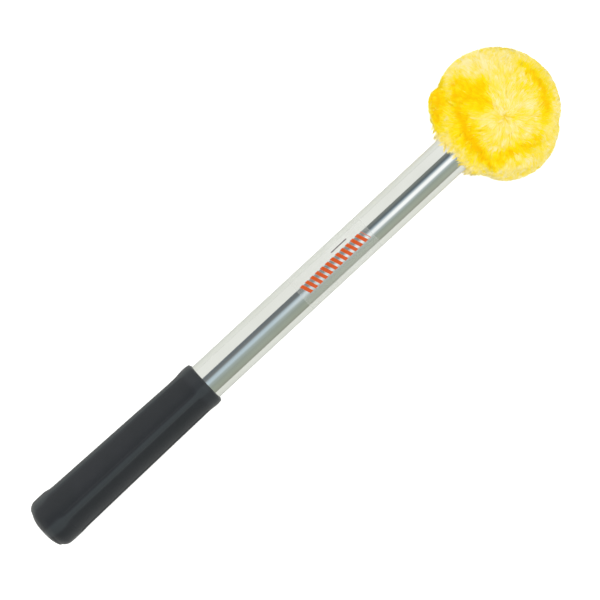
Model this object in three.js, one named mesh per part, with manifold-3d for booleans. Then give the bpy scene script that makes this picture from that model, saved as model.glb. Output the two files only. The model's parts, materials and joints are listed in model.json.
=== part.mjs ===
// A bass drum mallet: a polished tube with a rubber grip on one end and a plush head on the other.
// Lengths are millimetres. The mallet is modelled along its shaft, with X = 0 at the butt and +X
// towards the head, and is then laid down as it rests on a table: on the butt's bulge and on the head.

import * as THREE from "three";
import Module from "manifold-3d";
import { mergeVertices } from "three/addons/utils/BufferGeometryUtils.js";

const wasm = await Module();
wasm.setup();

// Clearances
const seatGap = 0.3; // between a piece and the one that it seats on
const cutOverrun = 3; // how far a cutting body runs past the face that it opens

// Tube
const tubeDiameter = 22.2;
const tubeWall = 1.2;
const tubeShown = 182; // bare tube between the grip's collar and the plush

// Grip: rubber thicknesses are measured outwards from the tube
const gripLength = 120;
const gripEndWall = 4.2;
const buttFlatRadius = 4;
const buttRoundLength = 7.6;
const buttBulgeLength = 17;
const buttBulgeThickness = 4;
const buttStepLength = 2.2;
const bodyThicknessAtButt = 3.6;
const bodyThicknessAtCollar = 1.8;
const collarThickness = 2.3;
const collarLength = 7;
const lipThickness = 0.4; // of the rubber left round the bore at the collar's end
const ribHeight = 0.75;
const ribEndLength = 4; // how far a rib takes to run out into the bulge or the collar
// The collar's outline: shares of its length, and of its rise over the body's end
const collarShares = [
  [0.15, 0.5],
  [0.31, 0.9],
  [0.47, 1],
  [0.65, 0.75],
  [0.8, 0.1],
];

// Plug in the tube's lower end
const plugFlangeThickness = 1.5;
const plugStemLength = 12;
const plugWall = 1.5;

// Film label
const labelThickness = 0.2;
const labelLength = 51.5;
const labelFromGrip = 69.5;
const labelWrapAngle = THREE.MathUtils.degToRad(150);

// Core: built outwards from the tube's end that it holds
const coreWall = 4.6;
const coreChamfer = 2;
const socketDepth = 16;
const coreWeb = 12; // wood between the socket and the screw's recess
const recessClearance = 1;
const recessPlugThickness = 3;

// Padding and cover of the head
const foamOverCorner = 3.4;
const coverThickness = 9.4;
const hemDepth = 6.6; // how far the cover's neck lies along the tube
const hemEdge = 1.2;
const restFlatDepth = 0.5;

// Fixings in the head
const dowelLength = 50;
const dowelWeb = 1.1; // wood between the head screw's hole and a dowel screw's tip
const headScrewRadius = 2.5;
const headScrewLength = 48;
const headScrewHeadRadius = 4.75;
const headScrewHeadHeight = 3;
const screwPointLength = 5;
const washerRadius = 7;
const washerThickness = 1.2;
const dowelScrewRadius = 1.1;
const dowelScrewHeadRadius = 2;
const dowelScrewHeadHeight = 1;
const dowelScrewSink = 0.2;
const dowelScrewPointLength = 1.5;

// Drawcord in the hem
const cordRadius = 1.2;
const cordFromHem = 3.3;

// Creases between the lobes of the cover, on the face that shows and, mirrored, on the one below
const creaseDepth = 2.6;
const creaseWidth = 4.4;

const gripSides = 60;
const tubeSides = 48;
const coverSides = 40;
const liningSteps = 8; // steps of the padding's outline, and of the cover's lining that lies on it
const innerSides = 32;
const smallSides = 20;
const cordSides = 8;
const ribCount = 5;
const ribTurn = THREE.MathUtils.degToRad(-12);
const ribSideAngle = (2 * Math.PI) / gripSides;
const ribSideShare = 0.8; // height of a rib one side away from its crest

// Sizes that follow: the tube, and the head from its core outwards
const tubeRadius = tubeDiameter / 2;
const tubeBoreRadius = tubeRadius - tubeWall;
const seatRadius = tubeRadius + seatGap;
const buttRadius = tubeRadius + buttBulgeThickness;
const recessRadius = washerRadius + recessClearance;
const recessDepth = recessPlugThickness + headScrewHeadHeight + washerThickness + 3 * seatGap;
const coreRadius = seatRadius + coreWall;
const coreLength = socketDepth + coreWeb + recessDepth;
const foamRadius = Math.hypot(coreRadius, coreLength / 2) + foamOverCorner;
const liningRadius = foamRadius + seatGap;
const headRadius = liningRadius + coverThickness;
const liningReach = Math.sqrt(liningRadius ** 2 - seatRadius ** 2);
const headFromHem = liningReach + hemDepth;
const hemFaceRadius = Math.sqrt(headRadius ** 2 - headFromHem ** 2) - hemEdge / 2;

// Places along the shaft
const plugStart = gripEndWall + seatGap;
const tubeStart = plugStart + plugFlangeThickness + seatGap;
const hemStart = gripLength + tubeShown;
const headCentre = hemStart + headFromHem;
const coreStart = headCentre - coreLength / 2;
const coreEnd = headCentre + coreLength / 2;
const tubeEnd = coreStart + socketDepth - seatGap;
const recessPlugStart = coreEnd - recessPlugThickness;
const screwHeadTop = recessPlugStart - seatGap;
const screwUnderHead = screwHeadTop - headScrewHeadHeight;
const washerTop = screwUnderHead - seatGap;
const recessFloor = coreEnd - recessDepth;
const screwTip = screwUnderHead - headScrewLength;
const screwHoleRadius = headScrewRadius + seatGap;

// The lie of the mallet: the butt's bulge and the flat of the head touch the table together, so
// A sin(lean) + B cos(lean) = C, with the distances below.
const contactSpan = headCentre - buttRoundLength;
const headHeight = headRadius - restFlatDepth;
const contactReach = Math.hypot(contactSpan, buttRadius);
const lean = Math.asin(headHeight / contactReach) - Math.atan2(buttRadius, contactSpan);

function material(color, roughness, metalness) {
  return new THREE.MeshStandardMaterial({ color, roughness, metalness });
}

const rubber = material("#2f3335", 0.62, 0);
const polishedTube = material("#d9dcda", 0.16, 1);
const clearFilm = material("#eceeea", 0.25, 0);
const yellowPlush = material("#ffd21f", 0.95, 0);
const foam = material("#e9dfb8", 0.95, 0);
const wood = material("#c69a62", 0.7, 0);
const steel = material("#a9adb2", 0.35, 1);
const blackPlastic = material("#26282a", 0.55, 0);
const cotton = material("#efe6c8", 0.9, 0);

// Point of an outline: how far along the shaft, and how far out from it.
const at = (along, out) => new THREE.Vector2(out, along);

// Turns an outline about the shaft. Its first point lies on the axis or joins the last one, and one
// row of its points looks straight down, where the mallet meets the table.
function turned(outline, sides) {
  const geometry = new THREE.LatheGeometry(outline, sides);
  geometry.rotateZ(-Math.PI / 2);
  return geometry;
}

// A plain round bar or bore from one place on the shaft to another.
function bar(from, to, radius, sides) {
  return turned([at(from, 0), at(from, radius), at(to, radius), at(to, 0)], sides);
}

// Keeps only the corners of a geometry, with the shared ones merged.
function welded(geometry) {
  const bare = geometry.clone();
  bare.deleteAttribute("normal");
  bare.deleteAttribute("uv");
  return mergeVertices(bare);
}

function toSolid(geometry) {
  const merged = welded(geometry);
  const position = merged.attributes.position.array;
  const mesh = new wasm.Mesh({
    numProp: 3,
    vertProperties: new Float32Array(position),
    triVerts: new Uint32Array(merged.index.array),
  });
  return new wasm.Manifold(mesh);
}

function fromSolid(solid) {
  const mesh = solid.getMesh();
  const geometry = new THREE.BufferGeometry();
  geometry.setAttribute("position", new THREE.BufferAttribute(new Float32Array(mesh.vertProperties), 3));
  geometry.setIndex(new THREE.BufferAttribute(new Uint32Array(mesh.triVerts), 1));
  geometry.computeVertexNormals();
  return geometry;
}

// Takes the cutting geometries out of a body.
function cut(body, ...cutters) {
  return fromSolid(cutters.reduce((solid, cutter) => solid.subtract(toSolid(cutter)), toSolid(body)));
}

const mallet = new THREE.Group();

function place(name, geometry, look) {
  const mesh = new THREE.Mesh(geometry, look);
  mesh.name = name;
  mallet.add(mesh);
}

// Grip sleeve: the body's radius at a place along the shaft, measured over the ribs.
const bodyStart = buttBulgeLength + buttStepLength;
const bodyEnd = gripLength - collarLength;
const panelStart = bodyStart + ribEndLength;
const panelEnd = bodyEnd - ribEndLength;

function bodyRadius(along) {
  const share = (along - bodyStart) / (bodyEnd - bodyStart);
  return tubeRadius + THREE.MathUtils.lerp(bodyThicknessAtButt, bodyThicknessAtCollar, share);
}

// How much of their depth the panels have at a place along the shaft: none on the bulge and collar.
function panelShare(along) {
  const fromEnd = Math.min(along - bodyStart, bodyEnd - along);
  return THREE.MathUtils.clamp(fromEnd / ribEndLength, 0, 1);
}

// Height of a rib at an angle round the shaft: 1 on its crest, 0 on the panel between two ribs.
function ribShare(angle) {
  const pitch = (2 * Math.PI) / ribCount;
  const turn = angle - ribTurn;
  const away = Math.abs(turn - pitch * Math.round(turn / pitch)) / ribSideAngle;
  if (away < 1) return THREE.MathUtils.lerp(1, ribSideShare, away);
  return Math.max(0, ribSideShare * (2 - away));
}

function gripSleeve() {
  const roundSteps = 5;
  const outline = [at(0, 0)];
  for (let i = 0; i <= roundSteps; i++) {
    const turn = (i / roundSteps) * (Math.PI / 2);
    const along = buttRoundLength * (1 - Math.cos(turn));
    outline.push(at(along, buttFlatRadius + (buttRadius - buttFlatRadius) * Math.sin(turn)));
  }
  outline.push(at(buttBulgeLength, buttRadius));
  const bodySteps = 3;
  outline.push(at(bodyStart, bodyRadius(bodyStart)));
  for (let i = 0; i <= bodySteps; i++) {
    const along = THREE.MathUtils.lerp(panelStart, panelEnd, i / bodySteps);
    outline.push(at(along, bodyRadius(along)));
  }
  outline.push(at(bodyEnd, bodyRadius(bodyEnd)));
  for (const [lengthShare, riseShare] of collarShares) {
    const thickness = THREE.MathUtils.lerp(bodyThicknessAtCollar, collarThickness, riseShare);
    outline.push(at(bodyEnd + collarLength * lengthShare, tubeRadius + thickness));
  }
  outline.push(at(gripLength, tubeRadius + lipThickness));
  outline.push(at(gripLength, seatRadius));
  outline.push(at(gripEndWall, seatRadius));
  outline.push(at(gripEndWall, 0));
  const geometry = turned(outline, gripSides);

  // The panels between the ribs are sunk into the body.
  const points = geometry.attributes.position;
  for (let i = 0; i < points.count; i++) {
    const [x, y, z] = [points.getX(i), points.getY(i), points.getZ(i)];
    const depth = ribHeight * panelShare(x);
    if (depth > 0) {
      const left = 1 - (depth * (1 - ribShare(Math.atan2(y, z)))) / Math.hypot(y, z);
      points.setXYZ(i, x, y * left, z * left);
    }
  }
  return geometry;
}

place("grip_sleeve", gripSleeve(), rubber);

// Plug in the tube's lower end: a flange on the tube's edge and a hollow stem inside it.
const plugFlangeEnd = plugStart + plugFlangeThickness;
const plugEnd = plugFlangeEnd + plugStemLength;
const plugStemRadius = tubeBoreRadius - seatGap;
const plugOutline = [
  at(plugStart, 0),
  at(plugStart, tubeRadius),
  at(plugFlangeEnd, tubeRadius),
  at(plugFlangeEnd, plugStemRadius),
  at(plugEnd, plugStemRadius),
  at(plugEnd, plugStemRadius - plugWall),
  at(plugFlangeEnd, plugStemRadius - plugWall),
  at(plugFlangeEnd, 0),
];
place("lower_end_plug", turned(plugOutline, innerSides), blackPlastic);

// Small countersunk screws that hold the dowel, in the bare stretch between the hem and the core.
// Their outline is measured outwards from the shaft's middle.
const dowelScrewPlace = (headCentre - liningReach + coreStart) / 2;
const dowelScrewTop = tubeRadius - dowelScrewSink;
const dowelScrewTip = screwHoleRadius + dowelWeb;

// Stands an outline up across the shaft at the dowel screws' place: side is 1 above, -1 below.
function acrossShaft(outline, side) {
  const geometry = new THREE.LatheGeometry(outline, smallSides);
  geometry.rotateX((side * Math.PI) / 2);
  geometry.translate(dowelScrewPlace, 0, 0);
  return geometry;
}

const dowelScrewOutline = [
  at(dowelScrewTip, 0),
  at(dowelScrewTip + dowelScrewPointLength, dowelScrewRadius),
  at(dowelScrewTop - dowelScrewHeadHeight, dowelScrewRadius),
  at(dowelScrewTop, dowelScrewHeadRadius),
  at(dowelScrewTop, 0),
];
const dowelScrewHoleOutline = [
  at(dowelScrewTip - seatGap, 0),
  at(dowelScrewTip - seatGap, dowelScrewRadius + seatGap),
  at(dowelScrewTop - dowelScrewHeadHeight - seatGap, dowelScrewRadius + seatGap),
  at(dowelScrewTop, dowelScrewHeadRadius + seatGap),
  at(dowelScrewTop + cutOverrun, dowelScrewHeadRadius + seatGap),
  at(dowelScrewTop + cutOverrun, 0),
];
const screwSides = [1, -1];
const dowelScrewHoles = screwSides.map((side) => acrossShaft(dowelScrewHoleOutline, side));

// Tube, with the two countersunk holes near its upper end.
const tubeOutline = [
  at(tubeStart, tubeBoreRadius),
  at(tubeStart, tubeRadius),
  at(tubeEnd, tubeRadius),
  at(tubeEnd, tubeBoreRadius),
  at(tubeStart, tubeBoreRadius),
];
place("shaft_tube", cut(turned(tubeOutline, tubeSides), ...dowelScrewHoles), polishedTube);

// Film label, wrapped round the side of the tube that shows. Its section is drawn with up as +X,
// and is then stood up and drawn out along the shaft.
function shaftLabel() {
  const side = labelWrapAngle / 2;
  const section = new THREE.Shape();
  section.absarc(0, 0, seatRadius + labelThickness, -side, side, false);
  section.absarc(0, 0, seatRadius, side, -side, true);
  const geometry = new THREE.ExtrudeGeometry(section, {
    depth: labelLength,
    bevelEnabled: false,
    curveSegments: smallSides / 2,
  });
  geometry.rotateY(-Math.PI / 2);
  geometry.translate(gripLength + labelFromGrip + labelLength, 0, 0);
  return geometry;
}

place("shaft_label", shaftLabel(), clearFilm);

// Dowel in the tube's upper end, bored for the head screw and for the two dowel screws.
const dowelBlank = bar(tubeEnd - dowelLength, tubeEnd, tubeBoreRadius - seatGap, innerSides);
const headScrewHole = bar(screwTip - seatGap, tubeEnd + cutOverrun, screwHoleRadius, smallSides);
place("head_dowel", cut(dowelBlank, headScrewHole, ...dowelScrewHoles), wood);

screwSides.forEach((side, i) => place(`dowel_screw_${i + 1}`, acrossShaft(dowelScrewOutline, side), steel));

// Core: a turned block with a socket for the tube, a hole for the screw and a recess for its head.
const coreOutline = [
  at(recessFloor, screwHoleRadius),
  at(recessFloor, recessRadius),
  at(coreEnd, recessRadius),
  at(coreEnd, coreRadius - coreChamfer),
  at(coreEnd - coreChamfer, coreRadius),
  at(coreStart + coreChamfer, coreRadius),
  at(coreStart, coreRadius - coreChamfer),
  at(coreStart, seatRadius),
  at(coreStart + socketDepth, seatRadius),
  at(coreStart + socketDepth, screwHoleRadius),
  at(recessFloor, screwHoleRadius),
].reverse();
place("head_core", turned(coreOutline, innerSides), wood);

const headScrewOutline = [
  at(screwTip, 0),
  at(screwTip + screwPointLength, headScrewRadius),
  at(screwUnderHead, headScrewRadius),
  at(screwUnderHead, headScrewHeadRadius),
  at(screwUnderHead + headScrewHeadHeight / 2, headScrewHeadRadius),
  at(screwHeadTop, headScrewHeadRadius / 2),
  at(screwHeadTop, 0),
];
place("head_screw", turned(headScrewOutline, smallSides), steel);

const washerOutline = [
  at(washerTop - washerThickness, screwHoleRadius),
  at(washerTop - washerThickness, washerRadius),
  at(washerTop, washerRadius),
  at(washerTop, screwHoleRadius),
  at(washerTop - washerThickness, screwHoleRadius),
];
place("screw_washer", turned(washerOutline, smallSides), steel);
place("recess_plug", bar(recessPlugStart, coreEnd, recessRadius - seatGap, smallSides), wood);

// Arc of a ball round the head's middle, from where the tube enters it to its far end.
function headArc(radius) {
  const start = Math.PI - Math.asin(seatRadius / radius);
  const arc = [];
  for (let i = 0; i <= liningSteps; i++) {
    const turn = start * (1 - i / liningSteps);
    arc.push(at(headCentre + radius * Math.cos(turn), radius * Math.sin(turn)));
  }
  return arc;
}

// Padding: a ball round the core, split along the shaft into an upper and a lower half.
const foamOutline = [
  at(coreEnd + seatGap, 0),
  at(coreEnd + seatGap, coreRadius + seatGap),
  at(coreStart - seatGap, coreRadius + seatGap),
  at(coreStart - seatGap, seatRadius),
  ...headArc(foamRadius),
];
const foamBall = turned(foamOutline, innerSides);

function foamHalf(side) {
  const reach = foamRadius + cutOverrun;
  const block = new THREE.BoxGeometry(2 * reach, 2 * reach, reach);
  block.translate(headCentre, 0, side * (reach / 2 - seatGap / 2));
  return cut(foamBall, block);
}

place("foam_half_upper", foamHalf(-1), foam);
place("foam_half_lower", foamHalf(1), foam);

// Creases of the cover: places along each crease, as shares of the head's radius from its middle.
const creaseShares = [
  [
    [-0.38, 0.89, 0],
    [-0.36, 0.87, 0.3],
    [-0.37, 0.48, 0.8],
    [-0.46, 0.17, 0.87],
    [-0.57, -0.22, 0.79],
    [-0.63, -0.48, 0.61],
    [-0.75, -0.62, 0.2],
    [-0.77, -0.63, 0],
  ],
  [
    [-0.57, -0.22, 0.79],
    [-0.36, -0.4, 0.84],
    [-0.19, -0.52, 0.83],
    [0.08, -0.72, 0.68],
    [0.42, -0.8, 0.4],
    [0.63, -0.73, 0.28],
    [0.65, -0.74, 0],
  ],
  [
    [0.63, -0.73, 0.28],
    [0.66, -0.45, 0.6],
    [0.78, -0.28, 0.55],
    [0.87, -0.02, 0.48],
    [0.82, 0.24, 0.52],
  ],
];
const creases = creaseShares.map((line) => line.map((share) => new THREE.Vector3(...share).normalize()));

// How far the cover dips at a direction from the head's middle.
function creaseDip(direction) {
  const shown = new THREE.Vector3(direction.x, direction.y, Math.abs(direction.z));
  const nearest = new THREE.Vector3();
  let least = headRadius;
  for (const line of creases) {
    for (let i = 1; i < line.length; i++) {
      new THREE.Line3(line[i - 1], line[i]).closestPointToPoint(shown, true, nearest);
      least = Math.min(least, headRadius * nearest.normalize().distanceTo(shown));
    }
  }
  return creaseDepth * Math.exp(-((least / creaseWidth) ** 2));
}

const cordRing = seatRadius + seatGap + cordRadius;
const cordPlace = hemStart + cordFromHem;

function plushCover() {
  const grooveHalf = cordRadius + seatGap;
  const outline = [];
  const outerSteps = 13;
  const outerEnd = Math.acos(-(headFromHem - hemEdge) / headRadius);
  for (let i = 0; i <= outerSteps; i++) {
    const turn = (outerEnd * i) / outerSteps;
    outline.push(at(headCentre + headRadius * Math.cos(turn), headRadius * Math.sin(turn)));
  }
  outline.push(at(hemStart, hemFaceRadius));
  outline.push(at(hemStart, seatRadius));
  outline.push(at(cordPlace - grooveHalf, seatRadius));
  outline.push(at(cordPlace - grooveHalf, cordRing + grooveHalf));
  outline.push(at(cordPlace + grooveHalf, cordRing + grooveHalf));
  outline.push(at(cordPlace + grooveHalf, seatRadius));
  outline.push(...headArc(liningRadius));
  const geometry = turned(outline.reverse(), coverSides);

  // The creases are full depth on the outside and fade through the wall, so the lining stays round.
  const centre = new THREE.Vector3(headCentre, 0, 0);
  const points = geometry.attributes.position;
  for (let i = 0; i < points.count; i++) {
    const arm = new THREE.Vector3().fromBufferAttribute(points, i).sub(centre);
    const reach = arm.length();
    const depthShare = Math.max(0, (reach - liningRadius) / coverThickness);
    arm.divideScalar(reach);
    arm.multiplyScalar(reach - creaseDip(arm) * depthShare);
    arm.add(centre);
    points.setXYZ(i, arm.x, arm.y, arm.z);
  }

  // The flat that the head rests on, square to the table once the mallet is laid down.
  const flatBlock = new THREE.BoxGeometry(headRadius, headRadius, headRadius);
  flatBlock.translate(0, 0, -headHeight - headRadius / 2);
  flatBlock.rotateY(lean);
  flatBlock.translate(headCentre, 0, 0);
  return cut(geometry, flatBlock);
}

place("plush_cover", plushCover(), yellowPlush);

// Drawcord: a closed ring in the hem's channel.
const drawcord = new THREE.TorusGeometry(cordRing, cordRadius, cordSides, innerSides);
drawcord.rotateY(Math.PI / 2);
drawcord.translate(cordPlace, 0, 0);
place("neck_drawcord", drawcord, cotton);

// Lay the mallet down, then centre it over the origin with its lowest points on Z = 0.
mallet.rotation.y = -lean;
const laid = new THREE.Group();
laid.add(mallet);
laid.updateMatrixWorld(true);
const box = new THREE.Box3().setFromObject(laid, true);
const middle = box.getCenter(new THREE.Vector3());
mallet.position.set(-middle.x, -middle.y, -box.min.z);
laid.updateMatrixWorld(true);

export default laid;
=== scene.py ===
# %% [markdown]
# # A bass drum mallet
#
# The mallet is a polished tube with a ribbed rubber grip on one end and a plush head on the other.
# The solid model of it comes first and fixes every size and place. This file dresses that model:
# it gives the parts that are already right a finish, and it models again, in more detail, the
# parts whose looks need it, which are the grip, the tube, the film label and the head.
#
# The frame is in metres. The mallet lies along X, with its head towards +X, and Z is up.

# %% Load the solid model
import json
import math

import bpy
import numpy as np
from mathutils import Matrix, Vector, noise
from mathutils.bvhtree import BVHTree
from mathutils.kdtree import KDTree


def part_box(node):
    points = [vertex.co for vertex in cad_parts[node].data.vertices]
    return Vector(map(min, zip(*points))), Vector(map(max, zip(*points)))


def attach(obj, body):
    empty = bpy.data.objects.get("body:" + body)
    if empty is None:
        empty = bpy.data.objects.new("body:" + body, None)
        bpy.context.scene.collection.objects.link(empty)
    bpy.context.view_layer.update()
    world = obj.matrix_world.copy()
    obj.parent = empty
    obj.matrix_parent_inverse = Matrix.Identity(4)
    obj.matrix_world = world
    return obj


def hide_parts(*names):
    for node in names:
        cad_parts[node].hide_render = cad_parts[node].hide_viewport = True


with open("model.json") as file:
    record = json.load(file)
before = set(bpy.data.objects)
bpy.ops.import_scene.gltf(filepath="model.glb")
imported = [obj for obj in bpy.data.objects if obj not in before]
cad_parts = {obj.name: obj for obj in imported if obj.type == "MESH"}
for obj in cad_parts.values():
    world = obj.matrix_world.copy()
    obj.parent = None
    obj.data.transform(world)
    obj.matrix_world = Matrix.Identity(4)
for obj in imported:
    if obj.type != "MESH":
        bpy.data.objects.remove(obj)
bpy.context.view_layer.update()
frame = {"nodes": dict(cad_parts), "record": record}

# %% [markdown]
# ## The shaft's own frame
#
# The mallet rests on the swollen butt of its grip and on its fat head, so its shaft rises a little
# towards the head. It is easier to model every piece along a level shaft that starts at the butt,
# and to lay it down at the end. The record's two resting places give where the butt is and how far
# the shaft leans, so nothing here has to be measured by eye.

# %% Where the shaft lies
mounts = {mount["name"]: mount for mount in frame["record"]["mounts"]}
BUTT = Vector(mounts["butt_face"]["pos_m"])
SHAFT = -Vector(mounts["butt_face"]["axis"]).normalized()
ACROSS = Vector((0, 1, 0))
UP = SHAFT.cross(ACROSS)
LEAN = math.atan2(SHAFT.z, SHAFT.x)
LAID_DOWN = Matrix.Translation(BUTT) @ Matrix.Rotation(-LEAN, 4, "Y")

HEAD_PLACE = (mounts["head_rest"]["pos_m"][0] - BUTT.x) / SHAFT.x
HEAD_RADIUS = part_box("plush_cover")[1].y
TUBE_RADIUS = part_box("shaft_tube")[1].y
print(f"the shaft leans {math.degrees(LEAN):.2f} degrees")
print(f"the head's middle is {HEAD_PLACE * 1000:.1f} mm along it")

# %% [markdown]
# ## The camera
#
# The photograph looks straight down on the shaft with a long lens, so there is next to no
# perspective. The camera therefore stands square to the leaning shaft and not quite square to the
# floor. It is turned so that the shaft climbs to the upper right of the picture.

# %% Camera
VIEW_CENTRE = LAID_DOWN @ Vector((0.1877, -0.0021, 0))
SHAFT_SLOPE = math.radians(42.83)
PICTURE_WIDTH = 0.326
LENS = 200

camera_data = bpy.data.cameras.new("camera")
camera_data.lens = LENS
camera_distance = PICTURE_WIDTH * LENS / camera_data.sensor_width
picture_right = SHAFT * math.cos(SHAFT_SLOPE) - ACROSS * math.sin(SHAFT_SLOPE)
picture_up = SHAFT * math.sin(SHAFT_SLOPE) + ACROSS * math.cos(SHAFT_SLOPE)
camera = bpy.data.objects.new("camera", camera_data)
bpy.context.scene.collection.objects.link(camera)
camera.matrix_world = Matrix.Translation(VIEW_CENTRE + UP * camera_distance) @ Matrix(
    (picture_right, picture_up, UP)
).transposed().to_4x4()
bpy.context.scene.camera = camera
bpy.context.scene.view_settings.view_transform = "Standard"
print(f"camera {camera_distance:.3f} m above the shaft")

# %% [markdown]
# ## Node helpers
#
# A finish is a tree of nodes. These few helpers keep each tree short enough to read: `paint` makes
# a material with the numbers that are the same all over it, `add` adds one node and joins it up,
# `blend_of` makes a ramp of colours, and `patterned` makes a whole finish that needs no more than
# one pattern. Colours are written as they look on a screen, from 0 to 255, because that is how
# they are read off a photograph.

# %% Node helpers
def screen(red, green, blue):
    """A colour as seen on a screen, as the linear colour that a shader takes."""
    def linear(value):
        share = value / 255
        return share / 12.92 if share <= 0.04045 else ((share + 0.055) / 1.055) ** 2.4
    return (linear(red), linear(green), linear(blue), 1.0)


def paint(name, colour, roughness, **sockets):
    """A new material, with its tree and its shader, which holds the plain values."""
    material = bpy.data.materials.new(name)
    material.use_nodes = True
    shader = material.node_tree.nodes["Principled BSDF"]
    shader.inputs["Base Color"].default_value = colour
    shader.inputs["Roughness"].default_value = roughness
    for socket, value in sockets.items():
        shader.inputs[socket.replace("_", " ")].default_value = value
    return material, material.node_tree, shader


def feed(tree, node, **sources):
    """Links the outputs of other nodes to a node's sockets."""
    for name, source in sources.items():
        tree.links.new(source, node.inputs[name.replace("_", " ")])


def add(tree, kind, **settings):
    """Adds a node. Each setting is one of the node's own, or a socket's value or source."""
    node = tree.nodes.new("ShaderNode" + kind)
    for name, value in settings.items():
        if isinstance(value, bpy.types.NodeSocket):
            feed(tree, node, **{name: value})
        elif hasattr(node, name):
            setattr(node, name, value)
        else:
            node.inputs[name.replace("_", " ")].default_value = value
    return node


def calc(tree, operation, *terms):
    """A sum on terms that are numbers or the outputs of other nodes."""
    node = add(tree, "Math", operation=operation)
    for socket, term in zip(node.inputs, terms):
        if isinstance(term, bpy.types.NodeSocket):
            tree.links.new(term, socket)
        else:
            socket.default_value = term
    return node.outputs[0]


def remap(tree, source, start, end, **settings):
    """A value carried from the range start to the range end."""
    node = add(tree, "MapRange", Value=source, **settings)
    for name, value in zip(("From Min", "From Max", "To Min", "To Max"), (*start, *end)):
        node.inputs[name].default_value = value
    return node.outputs[0]


def blend_of(tree, source, stops):
    """A ramp read at source. A stop is its place, then its red, green and blue on a screen."""
    ramp = add(tree, "ValToRGB", Fac=source)
    elements = ramp.color_ramp.elements
    while len(elements) < len(stops):
        elements.new(1.0)
    for element, (place, *colour) in zip(elements, stops):
        element.position = place
        element.color = screen(*colour)
    return ramp.outputs["Color"]


def along_shaft(tree, stretch=(1, 1, 1)):
    """Object coordinates turned and moved into the shaft's own frame, then stretched."""
    source = add(tree, "TexCoord").outputs["Object"]
    turn = (0, -LEAN, 0)
    level = add(tree, "Mapping", vector_type="TEXTURE", Vector=source, Location=BUTT, Rotation=turn)
    return add(tree, "Mapping", Vector=level.outputs[0], Scale=stretch).outputs[0]


def bumps(tree, shader, height, strength, distance):
    """Raises the surface by a height pattern."""
    bump = add(tree, "Bump", Height=height, Strength=strength, Distance=distance)
    feed(tree, shader, Normal=bump.outputs["Normal"])


def patterned(name, colour, roughness, pattern, output, stops, strength, distance, **settings):
    """A material with one pattern, which picks its colour from a ramp and raises its surface."""
    material, tree, shader = paint(name, colour, roughness)
    source = add(tree, pattern, Vector=along_shaft(tree), **settings).outputs[output]
    feed(tree, shader, Base_Color=blend_of(tree, source, stops))
    bumps(tree, shader, source, strength, distance)
    return material


# %% [markdown]
# ## The studio
#
# The mallet was photographed on white, under soft light from all round. A white world gives that
# light. A large lamp above gives the plush and the rubber their form, and a weaker one on each
# side lifts the flanks. The floor is a plain pale sheet that takes the shadow. Part of its
# brightness is only for the camera, which makes it pure white there. In reflections it gets little
# of that, and the sheet itself is a shade darker: the rims of the tube then stay off white, as in
# the photograph, and stand out from the floor.

# %% Floor, world and lamps
def only(piece):
    """Selects one piece and nothing else, as a click on it does."""
    if bpy.context.object and bpy.context.object.mode != "OBJECT":
        bpy.ops.object.mode_set(mode="OBJECT")
    bpy.ops.object.select_all(action="DESELECT")
    piece.select_set(True)
    bpy.context.view_layer.objects.active = piece


def begin(primitive, **settings):
    """Adds a primitive with nothing else selected, as the start of a piece."""
    bpy.ops.object.select_all(action="DESELECT")
    primitive(**settings)
    return bpy.context.object


def seen_by(tree, reflections):
    """1 for a ray from the camera, the share given for one from a reflection or through something
    clear, and 0 for light that falls on a surface."""
    rays = add(tree, "LightPath").outputs
    by_way = calc(tree, "MAXIMUM", rays["Is Glossy Ray"], rays["Is Transmission Ray"])
    return calc(tree, "MAXIMUM", rays["Is Camera Ray"], calc(tree, "MULTIPLY", by_way, reflections))


SHEET, SHEET_IN_MIRRORS = screen(246, 246, 246), screen(214, 215, 212)
SHEET_GLOW = 0.5
floor = begin(bpy.ops.mesh.primitive_plane_add, size=16)
floor.name = "floor"
floor_white, tree, shader = paint(
    "floor_white", SHEET, 0.9, Specular_IOR_Level=0.1, Emission_Color=(1, 1, 1, 1)
)
in_mirror = add(tree, "LightPath").outputs["Is Glossy Ray"]
shade = add(tree, "MixRGB", Fac=in_mirror, Color1=SHEET, Color2=SHEET_IN_MIRRORS)
glow = calc(tree, "MULTIPLY", seen_by(tree, reflections=0.05), SHEET_GLOW)
feed(tree, shader, Base_Color=shade.outputs[0], Emission_Strength=glow)
floor.data.materials.append(floor_white)

world = bpy.data.worlds.new("white_room")
bpy.context.scene.world = world
world.use_nodes = True
tree = world.node_tree
room_light = tree.nodes["Background"]
room_light.inputs["Color"].default_value = (0.96, 0.97, 0.94, 1)
room_light.inputs["Strength"].default_value = 1.0
white_wall = add(tree, "Background", Color=(1, 1, 1, 1), Strength=1.0)
pick = add(tree, "MixShader", Fac=seen_by(tree, reflections=0.0))
tree.links.new(room_light.outputs[0], pick.inputs[1])
tree.links.new(white_wall.outputs[0], pick.inputs[2])
feed(tree, tree.nodes["World Output"], Surface=pick.outputs[0])

# Each lamp shines on the middle of the mallet, and isn't seen in the tube.
LAMP_DISTANCE, LAMP_SIZE = 1.2, 0.8
for name, towards, power in [
    ("key_lamp", picture_up * 0.5 - picture_right * 0.2 + UP * 1.2, 3.4),
    ("right_lamp", picture_right * 0.9 - picture_up * 0.5 + UP * 0.8, 3.0),
    ("left_lamp", picture_up * 0.1 - picture_right * 0.9 + UP * 0.6, 2.0),
]:
    place = VIEW_CENTRE + towards.normalized() * LAMP_DISTANCE
    lamp = begin(bpy.ops.object.light_add, type="AREA", location=place)
    lamp.name = name
    lamp.data.size = LAMP_SIZE
    lamp.data.energy = power
    lamp.rotation_euler = (place - VIEW_CENTRE).to_track_quat("Z", "Y").to_euler()
    lamp.visible_glossy = False
    print(f"{name}: {power} W")

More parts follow.
